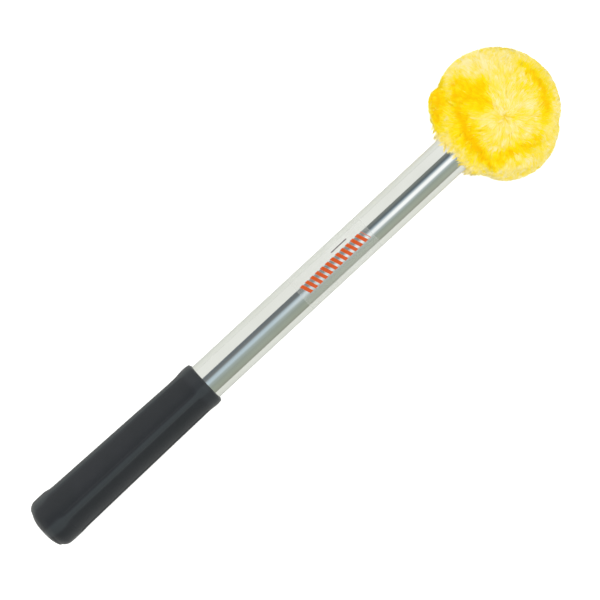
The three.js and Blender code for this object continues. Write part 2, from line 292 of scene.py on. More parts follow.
# %% [markdown]
# ## A card for the tube to reflect
#
# A polished tube has no colour of its own: it shows what stands round it, squeezed into bands
# along its length. In the photograph there is a dark slate band above the middle of the tube, a
# bright band under it and a wide grey-green one below that, and all three are stronger near the
# head. A photographer makes such bands with a painted card. This one is a strip of a wide drum
# round the shaft, painted from edge to edge in soft steps. It is seen only in reflections, so that
# it throws no shadow on the plush.

# %% Reflection card
CARD_RADIUS = 0.7
CARD_LENGTH = 2.4
CARD_LOW, CARD_HIGH = math.radians(-89.5), math.radians(27)

card = begin(bpy.ops.mesh.primitive_grid_add, x_subdivisions=1, y_subdivisions=48, size=1)
card.name = "painted_card"
for corner in card.data.vertices:
    angle = CARD_LOW + (CARD_HIGH - CARD_LOW) * (corner.co.y + 0.5)
    corner.co = LAID_DOWN @ Vector((
        HEAD_PLACE / 2 + corner.co.x * CARD_LENGTH,
        math.sin(angle) * CARD_RADIUS,
        math.cos(angle) * CARD_RADIUS,
    ))
card.visible_camera = card.visible_diffuse = card.visible_shadow = card.visible_transmission = False

card_paint, tree, shader = paint(
    "card_paint", (0, 0, 0, 1), 1.0, Specular_IOR_Level=0.0, Emission_Strength=1.24
)
place = add(tree, "SeparateXYZ", Vector=along_shaft(tree)).outputs
across = remap(tree, calc(tree, "ARCTAN2", place["Y"], place["Z"]), (CARD_LOW, CARD_HIGH), (0, 1))
near_grip = blend_of(tree, across, [
    (0.04, 147, 151, 140),
    (0.20, 153, 160, 148),
    (0.38, 148, 156, 148),
    (0.52, 158, 169, 168),
    (0.61, 184, 200, 210),
    (0.70, 178, 193, 203),
    (0.80, 118, 122, 124),
    (0.93, 102, 108, 113),
    (1.00, 116, 121, 125),
])
near_head = blend_of(tree, across, [
    (0.04, 152, 155, 145),
    (0.20, 158, 165, 152),
    (0.38, 147, 156, 148),
    (0.48, 170, 180, 183),
    (0.55, 250, 252, 254),
    (0.65, 250, 252, 254),
    (0.74, 146, 161, 171),
    (0.80, 88, 98, 105),
    (0.95, 120, 125, 121),
])
along = remap(tree, place["X"], (0.16, 0.29), (0, 1))
shade = add(tree, "MixRGB", Fac=along, Color1=near_grip, Color2=near_head)
feed(tree, shader, Emission_Color=shade.outputs[0])
card.data.materials.append(card_paint)
print("painted card from", round(math.degrees(CARD_LOW)), "to", round(math.degrees(CARD_HIGH)), "degrees")

# %% [markdown]
# ## Helpers for modelling
#
# Every new piece is modelled along the level shaft, with the tools that the Edit Mode menus have:
# a circle is extruded from ring to ring, a ring is scaled to its radius, faces are picked by their
# place.

# %% Modelling helpers
def round_piece(name, sides, rings, hollow=False):
    """A piece that is round about the shaft. rings are (along, radius) pairs. A hollow piece joins
    its last ring to its first; any other is capped at both ends."""
    (start, radius), *others = rings
    piece = begin(
        bpy.ops.mesh.primitive_circle_add,
        vertices=sides,
        radius=radius,
        fill_type="NOTHING" if hollow else "NGON",
        location=(start, 0, 0),
        rotation=(0, math.pi / 2, 0),
    )
    piece.name = piece.data.name = name
    bpy.ops.object.transform_apply(location=True, rotation=True)
    bpy.ops.object.mode_set(mode="EDIT")
    bpy.ops.mesh.select_mode(type="VERT")
    bpy.ops.mesh.select_all(action="SELECT")
    here, size = start, radius
    for along, radius in others:
        bpy.ops.mesh.extrude_region_move(TRANSFORM_OT_translate={"value": (along - here, 0, 0)})
        share = radius / size
        bpy.ops.transform.resize(value=(1, share, share), center_override=(along, 0, 0))
        here, size = along, radius
    bpy.ops.mesh.select_all(action="SELECT")
    bpy.ops.mesh.remove_doubles(threshold=2e-5)
    bpy.ops.mesh.normals_make_consistent(inside=False)
    bpy.ops.object.mode_set(mode="OBJECT")
    return piece


def pick_faces(piece, wanted):
    """Leaves Edit Mode with just the faces selected whose middle and normal are wanted."""
    bpy.ops.object.mode_set(mode="EDIT")
    bpy.ops.mesh.select_mode(type="FACE")
    bpy.ops.mesh.select_all(action="DESELECT")
    bpy.ops.object.mode_set(mode="OBJECT")
    found = 0
    for face in piece.data.polygons:
        face.select = bool(wanted(face.center, face.normal))
        found += face.select
    return found


def add_modifier(piece, kind, **settings):
    """Adds a modifier with its settings and applies it."""
    only(piece)
    modifier = piece.modifiers.new(kind.lower(), kind)
    for name, value in settings.items():
        setattr(modifier, name, value)
    bpy.ops.object.modifier_apply(modifier=modifier.name)


def cut_out(piece, cutter):
    """Cuts a plain shape out of a piece, and removes that shape."""
    add_modifier(piece, "BOOLEAN", object=cutter, operation="DIFFERENCE")
    bpy.data.objects.remove(cutter)


def lay_down(piece, nodes, material, smooth_angle=40):
    """Puts a piece that was modelled along the level shaft where the solid model has it."""
    only(piece)
    bpy.ops.object.shade_smooth_by_angle(angle=math.radians(smooth_angle))
    piece.data.transform(LAID_DOWN)
    piece.data.materials.clear()
    piece.data.materials.append(material)
    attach(piece, "root")
    if nodes:
        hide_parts(*nodes)
    size = [round(length * 1000, 1) for length in piece.dimensions]
    print(f"{piece.name}: {len(piece.data.polygons)} faces, {size} mm")


# %% [markdown]
# ## Rubber
#
# The grip is moulded black rubber. Its colour is a very dark blue grey. Rubber that is handled
# is never even: the hand polishes the ribs, a fine skin of tiny bumps breaks up the shine, and
# there is a faint bloom of dust in broad soft patches. The ribs are also painted lighter, as a
# painted highlight of the light that they catch. The grip's mesh carries where the ribs are polished
# and painted lighter, as an attribute, and two noises of very different size make the rest.

# %% Rubber
rubber, tree, shader = paint("moulded_rubber", screen(38, 41, 43), 0.4, Specular_IOR_Level=0.22)
place = along_shaft(tree)
bloom = add(tree, "TexNoise", Vector=place, Scale=55.0, Detail=5.0, Roughness=0.65)
skin = add(tree, "TexNoise", Vector=place, Scale=2600.0, Detail=2.0, Roughness=0.6)
# The attribute paints the ribs lighter, a painted highlight, and makes them less rough, as polish.
highlight_and_polish = add(tree, "Attribute", attribute_name="rib_highlight_and_polish").outputs["Fac"]
grey = calc(tree, "ADD", highlight_and_polish, remap(tree, bloom.outputs["Fac"], (0.3, 0.7), (0, 0.3)))
colour = blend_of(tree, grey, [(0.00, 34, 37, 40), (0.25, 38, 40, 44), (1.00, 49, 53, 56)])
feed(tree, shader, Base_Color=colour, Roughness=remap(tree, grey, (0, 1), (0.42, 0.32)))
bumps(tree, shader, skin.outputs["Fac"], 0.25, 0.0002)
print("rubber ready")

# %% [markdown]
# ## The grip
#
# The sleeve is swollen at the butt, narrows towards the head and ends in a small rolled collar.
# Five raised ribs run along it, with shallow panels between them. A maker's mould is turned round
# first and then cut panel by panel, and so is this: the plain sleeve is extruded ring by ring.

# %% Grip sleeve
GRIP_LENGTH = 0.120
BUTT_RADIUS = TUBE_RADIUS + 0.0040
BUTT_ROUND = 0.0076
BUTT_FLAT = 0.004
BUTT_STEPS = 9
BODY_START, BODY_END = 0.0192, 0.113
BODY_RADIUS_START, BODY_RADIUS_END = TUBE_RADIUS + 0.0037, TUBE_RADIUS + 0.0021
BODY_STEPS = 12
BORE_RADIUS, BORE_END = TUBE_RADIUS + 0.0001, 0.0042
PANEL_START, PANEL_END = 0.0158, 0.1113
GRIP_SIDES = 100
# Rings of the shoulder behind the butt, of the collar and of the mouth: how far along each is, and
# how far it stands out from the butt, from the body and from the tube.
SHOULDER = [(0.0118, 0), (PANEL_START, -0.00002), (0.0171, -0.0001)]
COLLAR = [
    (PANEL_END, 0), (0.1126, 0), (0.1134, 0.00018), (0.1141, 0.00015), (0.1149, 0.000246), (0.1158, 0.0003),
    (0.1167, 0.000294), (0.1175, 0.000216), (0.1183, 0.00009), (0.1189, 0.000024), (0.1194, -0.0002),
]
MOUTH = [(GRIP_LENGTH, 0.0008), (GRIP_LENGTH, 0.0003), (0.1196, 0.0001), (0.06, 0.0001)]

grip_rings = [(0.0, BUTT_FLAT * 0.5), (0.0, BUTT_FLAT)]
for step in range(1, BUTT_STEPS + 1):
    turn = step / BUTT_STEPS * math.pi / 2
    grip_rings.append((
        BUTT_ROUND * (1 - math.cos(turn)),
        BUTT_FLAT + (BUTT_RADIUS - BUTT_FLAT) * math.sin(turn),
    ))
grip_rings += [(along, BUTT_RADIUS + out) for along, out in SHOULDER]
grip_rings += [(0.0183, BODY_RADIUS_START + 0.0001), (BODY_START + 0.0008, BODY_RADIUS_START)]
for step in range(1, BODY_STEPS):
    share = step / BODY_STEPS
    grip_rings.append((
        BODY_START + (BODY_END - BODY_START) * share,
        BODY_RADIUS_START + (BODY_RADIUS_END - BODY_RADIUS_START) * share,
    ))
grip_rings += [(along, BODY_RADIUS_END + out) for along, out in COLLAR]
grip_rings += [(along, TUBE_RADIUS + out) for along, out in MOUTH]
grip_rings += [(BORE_END + 0.0002, BORE_RADIUS), (BORE_END, BORE_RADIUS - 0.0003), (BORE_END, BUTT_FLAT)]
grip = round_piece("rubber_grip", GRIP_SIDES, grip_rings)
print(f"{grip.name}: {len(grip_rings)} rings of {GRIP_SIDES} corners")

# %% [markdown]
# The faces of the five panels are inset, which leaves a fine step, and a Displace modifier presses
# each one in, most of all along its middle, so that it is nearly flat. Ribs are what is left. A
# Subdivision Surface then rounds every edge as a mould does. The real sleeve is moulded a little
# off the middle of its bore, most of all at the butt, so its outside is shifted last.

# %% Panels of the grip
RIB_COUNT = 5
RIB_MIDDLE = math.radians(-11.8)
RIB_WIDTH = math.radians(14.4)
PANEL_START_FADE, PANEL_END_FADE = 0.003, 0.006
PANEL_DEPTH, PANEL_STEP, PANEL_EDGE = 0.0004, 0.0003, 0.00035
OFF_CENTRE = 0.0009


def off_rib(middle):
    """The angle, in radians, between a place on the grip and the middle of the nearest rib."""
    pitch = 2 * math.pi / RIB_COUNT
    turn = math.atan2(middle.y, middle.z) - RIB_MIDDLE
    return abs(turn - pitch * round(turn / pitch))


def clamp(value):
    """A value kept between 0 and 1."""
    return min(max(value, 0.0), 1.0)


panels = pick_faces(grip, lambda middle, normal: (
    PANEL_START < middle.x < PANEL_END
    and math.hypot(middle.y, middle.z) > TUBE_RADIUS + 0.0005
    and off_rib(middle) > RIB_WIDTH / 2
))
bpy.ops.object.mode_set(mode="EDIT")
bpy.ops.mesh.inset(thickness=PANEL_EDGE, depth=-PANEL_STEP)
bpy.ops.object.mode_set(mode="OBJECT")
print("faces in the five panels:", panels)

pressed = grip.vertex_groups.new(name="pressed")
for index in {index for face in grip.data.polygons if face.select for index in face.vertices}:
    place = grip.data.vertices[index].co
    inward = (off_rib(place) - RIB_WIDTH / 2) / (math.pi / RIB_COUNT - RIB_WIDTH / 2)
    ends = min((place.x - PANEL_START) / PANEL_START_FADE, (PANEL_END - place.x) / PANEL_END_FADE)
    pressed.add([index], (1 - (1 - inward) ** 2) * clamp(ends), "REPLACE")
add_modifier(grip, "DISPLACE", vertex_group="pressed", mid_level=0, strength=-PANEL_DEPTH)
add_modifier(grip, "SUBSURF", levels=1, render_levels=1)

for vertex in grip.data.vertices:
    outside = clamp((math.hypot(vertex.co.y, vertex.co.z) - BORE_RADIUS - 0.0003) / 0.0008)
    vertex.co.y += OFF_CENTRE * outside * (1 - vertex.co.x / GRIP_LENGTH) ** 0.5

# %% [markdown]
# The hand polishes the ribs, a wider band over the swollen butt, and the collar all round, and
# these places are painted lighter too, as a painted highlight. How much of both each corner of
# the mesh gets goes into an attribute, which the rubber reads.

# %% Painted highlight and polish on the ribs
rib_highlight_and_polish = grip.data.attributes.new("rib_highlight_and_polish", "FLOAT", "POINT")
for vertex, rib_light_and_polish in zip(grip.data.vertices, rib_highlight_and_polish.data):
    on_butt = clamp((PANEL_START - vertex.co.x) / 0.004)
    on_collar = clamp((vertex.co.x - PANEL_END) / 0.003)
    width = RIB_WIDTH * (0.5 + 0.35 * max(on_butt, on_collar))
    rib_light_and_polish.value = max(math.exp(-((off_rib(vertex.co) / width) ** 4)), 0.45 * on_collar)
lay_down(grip, ["grip_sleeve"], rubber, smooth_angle=60)

# %% [markdown]
# ## Polished metal
#
# The tube is plated and polished. A metal's colour is only a tint on what it reflects. Polishing
# leaves hair lines along the tube, so a noise that is stretched a long way along the shaft moves
# the roughness a little up and down, and a broad soft one stands for the haze that hands leave.

# %% Polished metal
chrome, tree, shader = paint("polished_tube", screen(232, 233, 229), 0.1, Metallic=1.0)
lines = add(tree, "TexNoise", Vector=along_shaft(tree, (6, 900, 900)), Scale=1.0, Detail=3.0)
haze = add(tree, "TexNoise", Vector=along_shaft(tree), Scale=38.0, Detail=4.0)
mixed = calc(tree, "ADD", lines.outputs["Fac"], haze.outputs["Fac"])
tint = blend_of(tree, haze.outputs["Fac"], [(0.35, 229, 230, 226), (0.7, 235, 236, 233)])
feed(tree, shader, Base_Color=tint, Roughness=remap(tree, mixed, (0.7, 1.3), (0.05, 0.1)))
bumps(tree, shader, lines.outputs["Fac"], 0.05, 0.00005)
print("metal ready")

# %% [markdown]
# ## The tube
#
# The tube is bare between the grip and the plush, and runs on inside both. Its solid has flat
# sides, which a mirror finish would show as stripes, so it is made again with many more. It is a
# real tube with a wall, and has the two holes of the screws that hold the wooden dowel. Those are
# cut with a Boolean, as they would be drilled.

# %% Tube
TUBE_WALL = 0.0012
TUBE_START, TUBE_END = 0.0063, 0.33163
EDGE_BREAK = 0.00015
SCREW_HOLE_RADIUS = 0.0023
bore = TUBE_RADIUS - TUBE_WALL
tube = round_piece("polished_shaft", 160, [
    (TUBE_START, bore),
    (TUBE_START, TUBE_RADIUS - EDGE_BREAK),
    (TUBE_START + EDGE_BREAK, TUBE_RADIUS),
    (0.12, TUBE_RADIUS),
    (0.21, TUBE_RADIUS),
    (0.30, TUBE_RADIUS),
    (TUBE_END - EDGE_BREAK, TUBE_RADIUS),
    (TUBE_END, TUBE_RADIUS - EDGE_BREAK),
    (TUBE_END, bore),
    (TUBE_START, bore),
], hollow=True)


def middle_along(low, high):
    """How far along the shaft the middle of a box of the solid model is."""
    return (LAID_DOWN.inverted() @ ((low + high) / 2)).x


screw_low, screw_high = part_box("dowel_screw_1")
cut_out(tube, begin(
    bpy.ops.mesh.primitive_cylinder_add,
    vertices=32,
    radius=SCREW_HOLE_RADIUS,
    depth=4 * TUBE_RADIUS,
    location=(middle_along(screw_low, screw_high), 0, 0),
))
lay_down(tube, ["shaft_tube"], chrome)

# %% [markdown]
# ## The film label
#
# A thin clear film is wrapped round the upper side of the tube. It is a curved strip of its own,
# so that its edges catch the light: a flat grid is bent round, and Solidify gives it its thickness.

# %% Film label
LABEL_START, LABEL_END = 0.1895, 0.241
LABEL_ANGLE = math.radians(150)
FILM_INNER = TUBE_RADIUS + 0.00002
FILM_THICKNESS = 0.00012

label = begin(bpy.ops.mesh.primitive_grid_add, x_subdivisions=26, y_subdivisions=60, size=1)
label.name = label.data.name = "film_label"
label_map = label.data.uv_layers.active
for vertex in label.data.vertices:
    share, turn = vertex.co.x + 0.5, vertex.co.y * LABEL_ANGLE
    vertex.co = (
        LABEL_START + (LABEL_END - LABEL_START) * share,
        math.sin(turn) * FILM_INNER,
        math.cos(turn) * FILM_INNER,
    )
add_modifier(label, "SOLIDIFY", thickness=FILM_THICKNESS, offset=1.0)
print(f"{label.name}: {(LABEL_END - LABEL_START) * 1000:.1f} mm long")

# %% [markdown]
# The film is printed with a plain orange stripe that has slanted breaks, and with a thin grey rule
# beside it. It has its own UV map, where U runs along the film and V round it. The print is drawn
# with sums of U and V, so no picture is needed.

# %% Print on the film
FILM_WHITE, STRIPE_ORANGE, RULE_GREY = screen(240, 241, 238), screen(206, 82, 20), screen(96, 96, 98)
film, tree, shader = paint("printed_film", FILM_WHITE, 0.2, Specular_IOR_Level=0.5)
sheet_map = add(tree, "UVMap", uv_map=label_map.name).outputs["UV"]
parts = add(tree, "SeparateXYZ", Vector=sheet_map).outputs
U, V = parts["X"], parts["Y"]


def between(value, low, high, soft=0.004):
    """1 where a value lies between two others, with a soft edge."""
    rise = calc(tree, "DIVIDE", calc(tree, "SUBTRACT", value, low), soft)
    fall = calc(tree, "DIVIDE", calc(tree, "SUBTRACT", high, value), soft)
    return add(tree, "Clamp", Value=calc(tree, "MINIMUM", rise, fall)).outputs[0]


def box(left, right, low, high):
    """1 inside a box on the film, whose sides are shares of U and V."""
    return calc(tree, "MULTIPLY", between(U, left, right), between(V, low, high))


slanted = calc(tree, "ADD", U, calc(tree, "MULTIPLY", calc(tree, "SUBTRACT", V, 0.5), 0.2))
stripe = calc(tree, "MULTIPLY", between(slanted, 0.05, 0.94), between(V, 0.385, 0.605))
breaks = between(calc(tree, "FRACT", calc(tree, "MULTIPLY", slanted, 14)), 0.0, 0.62, soft=0.03)
rule = box(0.54, 0.76, 0.675, 0.70)
printed = calc(tree, "MAXIMUM", calc(tree, "MULTIPLY", stripe, breaks), rule)
ink = add(tree, "MixRGB", Fac=rule, Color1=STRIPE_ORANGE, Color2=RULE_GREY)
whole = add(tree, "MixRGB", Fac=printed, Color1=FILM_WHITE, Color2=ink.outputs[0])
# The film is painted whiter along its edges: a painted highlight of the light its cut edges catch.
painted_edge_highlight = calc(tree, "SUBTRACT", 1, box(0.008, 0.992, 0.004, 0.996))
bare_film = calc(tree, "ADD", 0.05, calc(tree, "MULTIPLY", painted_edge_highlight, 0.04))
cover = calc(tree, "MAXIMUM", calc(tree, "MULTIPLY", printed, 0.8), bare_film)
feed(tree, shader, Base_Color=whole.outputs[0], Alpha=cover)
lay_down(label, ["shaft_label"], film, smooth_angle=30)

# %% [markdown]
# ## Finishes of the hidden parts
#
# The plug, the dowel, the core, the screws, the padding and the drawcord are inside, and their
# solids already have the right shape. Each keeps its mesh and gets a finish that would hold up if
# the mallet were cut open: rings in the wood, a spiral twist on the cord, open cells in the foam.

# %% Wood, steel, foam, cord and plastic
wood, tree, shader = paint("turned_wood", screen(214, 176, 124), 0.62)
grain = along_shaft(tree, (0.08, 1, 1))
waves = add(
    tree, "TexWave", wave_type="RINGS", rings_direction="X",
    Vector=grain, Scale=130.0, Distortion=2.5, Detail=3.0
)
pores = add(tree, "TexNoise", Vector=along_shaft(tree, (60, 1400, 1400)), Scale=1.0, Detail=4.0)
rings = blend_of(tree, waves.outputs["Fac"], [(0.1, 222, 188, 138), (0.9, 190, 146, 92)])
darker = blend_of(tree, pores.outputs["Fac"], [(0.35, 226, 214, 196), (0.62, 255, 255, 255)])
both = add(tree, "MixRGB", blend_type="MULTIPLY", Fac=1.0, Color1=rings, Color2=darker)
feed(tree, shader, Base_Color=both.outputs[0])
bumps(tree, shader, pores.outputs["Fac"], 0.2, 0.0002)

steel, tree, shader = paint("plated_steel", screen(190, 194, 200), 0.3, Metallic=1.0)
scuffs = add(tree, "TexNoise", Vector=along_shaft(tree, (900, 900, 900)), Scale=1.0, Detail=4.0)
zinc = blend_of(tree, scuffs.outputs["Fac"], [(0.3, 178, 184, 192), (0.7, 204, 206, 204)])
shine = remap(tree, scuffs.outputs["Fac"], (0, 1), (0.2, 0.42))
feed(tree, shader, Base_Color=zinc, Roughness=shine)

foam = patterned(
    "open_foam", screen(238, 229, 196), 0.95, "TexVoronoi", "Distance",
    [(0.05, 206, 190, 140), (0.5, 240, 232, 202)], 0.6, 0.0006, Scale=900.0
)
cord = patterned(
    "twisted_cotton", screen(240, 232, 208), 0.9, "TexWave", "Fac",
    [(0.15, 206, 194, 160), (0.7, 244, 238, 218)], 0.5, 0.0003,
    bands_direction="DIAGONAL", Scale=420.0, Distortion=1.0, Detail=2.0
)
plastic = patterned(
    "moulded_plastic", screen(40, 42, 44), 0.45, "TexNoise", "Fac",
    [(0.3, 34, 36, 38), (0.7, 46, 48, 50)], 0.3, 0.0001, Scale=1500.0, Detail=2.0
)

for material, nodes in [
    (wood, ["head_dowel", "head_core", "recess_plug"]),
    (steel, ["dowel_screw_1", "dowel_screw_2", "head_screw", "screw_washer"]),
    (foam, ["foam_half_upper", "foam_half_lower"]),
    (cord, ["neck_drawcord"]),
    (plastic, ["lower_end_plug"]),
]:
    for node in nodes:
        for place in frame["nodes"][node].material_slots:
            place.material = material
print("hidden parts finished")

# %% [markdown]
# ## The folds of the plush
#
# The head's cover is a cup of plush that is drawn tight round the neck. Drawing it in folds the
# cloth, so the ball has one wide round face and several smaller lobes with deep folds between
# them. The folds are written as places on the ball: shares of its radius along the shaft, across
# it and up. The far side has the same folds, mirrored. The stuffing isn't even either: a second
# table says where the head is a little fuller or thinner than a ball.

# %% Folds and fullness
# Each fold has its depth, as a share of the deepest, and its places.
FOLDS = [
    (1.0, [(-.36, .91, 0), (-.33, .90, .28), (-.39, .75, .54), (-.47, .55, .69), (-.50, .35, .79),
           (-.56, .14, .82), (-.61, -.10, .79), (-.63, -.27, .73), (-.67, -.48, .57), (-.75, -.62, .2),
           (-.77, -.63, 0)]),
    (0.8, [(-.63, -.27, .73), (-.44, -.52, .73), (-.18, -.62, .76), (.12, -.74, .66)]),
    (0.5, [(.12, -.74, .66), (.42, -.80, .40), (.63, -.73, .28), (.65, -.74, 0)]),
    (0.5, [(.63, -.73, .28), (.60, -.52, .61), (.73, -.28, .62), (.79, -.02, .61), (.78, .24, .58)]),
]
FOLD_WIDTH = 0.0036 / HEAD_RADIUS


def unit(points):
    """Points or directions scaled to length 1."""
    points = np.asarray(points, float)
    return points / np.linalg.norm(points, axis=-1, keepdims=True)


def mirrored_up(directions):
    """The far side's directions carried over to the side that shows."""
    return directions * np.where(directions[..., 2:] < 0, [1, 1, -1], [1, 1, 1])


def off_line(directions, line):
    """How far each direction is from a line of places, as a share of the head's radius."""
    shown = mirrored_up(directions)
    least = np.full(len(shown), 9.0)
    corners = unit(line)
    for first, last in zip(corners, corners[1:]):
        edge = last - first
        share = np.clip((shown - first) @ edge / (edge @ edge), 0, 1)
        nearest = unit(first + share[:, None] * edge)
        least = np.minimum(least, np.linalg.norm(nearest - shown, axis=1))
    return least


def near_lines(directions, lines):
    """The most that any of the lines gives each direction. A line is its width, its strength and its
    places: it gives its strength along the places, and falls off to nothing over the width."""
    return np.max([
        strength * np.exp(-((off_line(directions, places) / width) ** 2))
        for width, strength, places in lines
    ], axis=0)


# Where the stuffing is fuller or thinner than a ball: metres, width and place.
BULGES = [
    (0.0016, .28, (-.55, .84, 0)),
    (-0.0022, .24, (-.85, .53, 0)),
    (0.0012, .55, (.04, -1, 0)),
    (0.0010, .30, (-.36, -.93, 0)),
    (-0.0006, .30, (.20, .98, 0)),
    (0.0005, .35, (.85, .53, 0)),
]
print("folds:", [len(places) for depth, places in FOLDS], "places each")

# %% [markdown]
# ## The padded head
#
# Under the pile is the cover's backing, stuffed by the padding. It starts as a ball that is cut
# off flat where the tube goes in, with a ring for the rolled hem that holds the drawcord. Voxel
# Remesh melts both into one even net.

# %% Padded head
HEM = 0.3055
HEM_ROLL = 0.0019
HEM_BEVEL = 0.0022
CORD_RADIUS = 0.0012
BACKING_RADIUS = 0.0315
BACKING_VOXEL = 0.0013
head_middle = Vector((HEAD_PLACE, 0, 0))
cord_low, cord_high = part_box("neck_drawcord")


def ring_at_cord(minor_radius):
    """A torus round the tube where the drawcord is."""
    return begin(
        bpy.ops.mesh.primitive_torus_add,
        major_segments=64,
        minor_segments=16,
        major_radius=(cord_high.y - cord_low.y) / 2 - CORD_RADIUS,
        minor_radius=minor_radius,
        location=(middle_along(cord_low, cord_high), 0, 0),
        rotation=(0, math.pi / 2, 0),
    )


head = begin(
    bpy.ops.mesh.primitive_uv_sphere_add,
    segments=64,
    ring_count=32,
    radius=BACKING_RADIUS,
    location=head_middle,
    rotation=(0, math.pi / 2, 0),
)
head.name = head.data.name = "padded_head"
bpy.ops.object.transform_apply(location=True, rotation=True)
bpy.ops.object.mode_set(mode="EDIT")
bpy.ops.mesh.select_all(action="SELECT")
bpy.ops.mesh.bisect(plane_co=(HEM, 0, 0), plane_no=(1, 0, 0), clear_inner=True, use_fill=True)
bpy.ops.mesh.bevel(offset=HEM_BEVEL, segments=3, affect="EDGES")
bpy.ops.object.mode_set(mode="OBJECT")
ring_at_cord(HEM_ROLL)
head.select_set(True)
bpy.context.view_layer.objects.active = head
bpy.ops.object.join()
head.data.remesh_voxel_size = BACKING_VOXEL
bpy.ops.object.voxel_remesh()
print(f"{head.name}: {len(head.data.polygons)} faces in the even net")

# %% [markdown]
# The folds are pressed in along their lines, and the fuller and thinner places are moved out and
# in. With so many corners this is done on all of them at once, as rows of numbers.

# %% Folds of the head
FOLD_DEPTH = 0.0026


def places_of(mesh):
    """The places of a mesh's vertices as rows of three numbers."""
    places = np.empty(len(mesh.vertices) * 3)
    mesh.vertices.foreach_get("co", places)
    return places.reshape(-1, 3)


def set_places(mesh, places):
    """Moves a mesh's vertices to the rows of places."""
    mesh.vertices.foreach_set("co", places.ravel())
    mesh.update()


arms = places_of(head.data) - head_middle
reach = np.linalg.norm(arms, axis=1, keepdims=True)
share = near_lines(arms / reach, [(FOLD_WIDTH, *fold) for fold in FOLDS])[:, None]
bulge = sum(
    amount * np.exp(-((np.linalg.norm(arms / reach - unit(place), axis=1) / width) ** 2))
    for amount, width, place in BULGES
)[:, None]
set_places(head.data, np.array(head_middle) + arms * (1 + (bulge - FOLD_DEPTH * share) / reach))
print(f"{head.name}: {int((share > 0.5).sum())} corners lie in the folds")

# %% [markdown]
# Blender's Cloth then blows the head up a little with its folds and its hem held, as stuffing
# does, so each lobe swells between the folds around it. Cloth is tuned for things as big as a
# cushion, so the head is blown up at ten times its size. Nothing may move more than a set distance,
# so that the head keeps its size.

# %% Stuffing
SWELL_LIMIT = 0.0012
CLOTH_SCALE = 10
CLOTH_FRAMES = 20
HEM_HELD, HEM_FADE = 0.006, 0.004

held = head.vertex_groups.new(name="held")
near_hem = np.clip((HEM + HEM_HELD - (arms[:, 0] + HEAD_PLACE)) / HEM_FADE, 0, 1)
for index, weight in enumerate(np.maximum(share[:, 0], near_hem)):
    held.add([index], float(weight), "REPLACE")
start = places_of(head.data)
set_places(head.data, start * CLOTH_SCALE)
only(head)
cloth = head.modifiers.new("cloth", "CLOTH")
cloth.settings.quality = 5
cloth.settings.mass = 0.05
cloth.settings.tension_stiffness = cloth.settings.compression_stiffness = 5
cloth.settings.use_pressure = True
cloth.settings.uniform_pressure_force = 150
cloth.settings.vertex_group_mass = "held"
cloth.settings.effector_weights.gravity = 0
scene = bpy.context.scene
for number in range(1, CLOTH_FRAMES + 1):
    scene.frame_set(number)
shaped = head.evaluated_get(bpy.context.evaluated_depsgraph_get())
moved = places_of(shaped.data) / CLOTH_SCALE - start
length = np.linalg.norm(moved, axis=1, keepdims=True)
moved *= np.minimum(1, SWELL_LIMIT / np.maximum(length, 1e-9))
head.modifiers.remove(cloth)
scene.frame_set(1)
set_places(head.data, start + moved)
print(f"the cloth moved by {length.mean() * 1000:.2f} mm, at most by {length.max() * 1000:.2f} mm")

add_modifier(head, "SUBSURF", levels=1, render_levels=1)
backing = BVHTree.FromPolygons([v.co for v in head.data.vertices], [p.vertices for p in head.data.polygons])
print(f"{head.name}: {len(head.data.polygons)} faces before it is hollowed")

# %% [markdown]
# The room inside is cut with three plain shapes: a ball for the padding, a cylinder for the tube
# and a ring for the drawcord. They are only cutters, so they are removed once they have cut. What
# is left is a wall of cloth with a knitted back.

# %% Hollow the head
LINING_RADIUS = 0.02815
ROUND_TUBE, ROUND_CORD = 0.0002, 0.0002
cut_out(head, begin(
    bpy.ops.mesh.primitive_uv_sphere_add,
    segments=64,
    ring_count=32,
    radius=LINING_RADIUS,
    location=head_middle,
))
cut_out(head, begin(
    bpy.ops.mesh.primitive_cylinder_add,
    vertices=64,
    radius=TUBE_RADIUS + ROUND_TUBE,
    depth=0.03,
    location=(HEM + 0.005, 0, 0),
    rotation=(0, math.pi / 2, 0),
))
cut_out(head, ring_at_cord(CORD_RADIUS + ROUND_CORD))

backing_cloth = patterned(
    "plush_backing", screen(255, 220, 60), 0.95, "TexVoronoi", "Distance",
    [(0.1, 255, 212, 36), (0.6, 255, 224, 84)], 0.4, 0.0003, Scale=1500.0
)
lay_down(head, ["plush_cover"], backing_cloth, smooth_angle=60)

# %% [markdown]
# ## One strand of pile
#
# The pile is thousands of soft fibres. Particle hair would be the usual way to show them, but hair
# is lost when the model is taken elsewhere, so each strand is a real mesh. One strand is modelled
# with the Edit Mode tools: a three-sided circle is extruded three times, each time narrower, and
# closed to a point. With only sixteen triangles it can be laid thousands of times.

# %% One strand
STRAND_RINGS = [(0.0, 1.0), (0.36, 0.92), (0.72, 0.6), (1.0, 0.2)]
here, size = STRAND_RINGS[0]
strand = begin(bpy.ops.mesh.primitive_circle_add, vertices=3, radius=size, fill_type="NGON")
bpy.ops.object.mode_set(mode="EDIT")
bpy.ops.mesh.select_all(action="SELECT")
for height, width in STRAND_RINGS[1:]:
    bpy.ops.mesh.extrude_region_move(TRANSFORM_OT_translate={"value": (0, 0, height - here)})
    bpy.ops.transform.resize(value=(width / size, width / size, 1), center_override=(0, 0, height))
    here, size = height, width
bpy.ops.mesh.merge(type="CENTER")
bpy.ops.mesh.select_all(action="SELECT")
bpy.ops.mesh.normals_make_consistent(inside=False)
bpy.ops.mesh.quads_convert_to_tris()
bpy.ops.object.mode_set(mode="OBJECT")
strand_shape = places_of(strand.data)
strand_faces = np.array([list(face.vertices) for face in strand.data.polygons])
bpy.data.objects.remove(strand)
strand_heights = sorted(set(strand_shape[:, 2].round(4)))
strand_ring = np.array([strand_heights.index(height) for height in strand_shape[:, 2].round(4)])
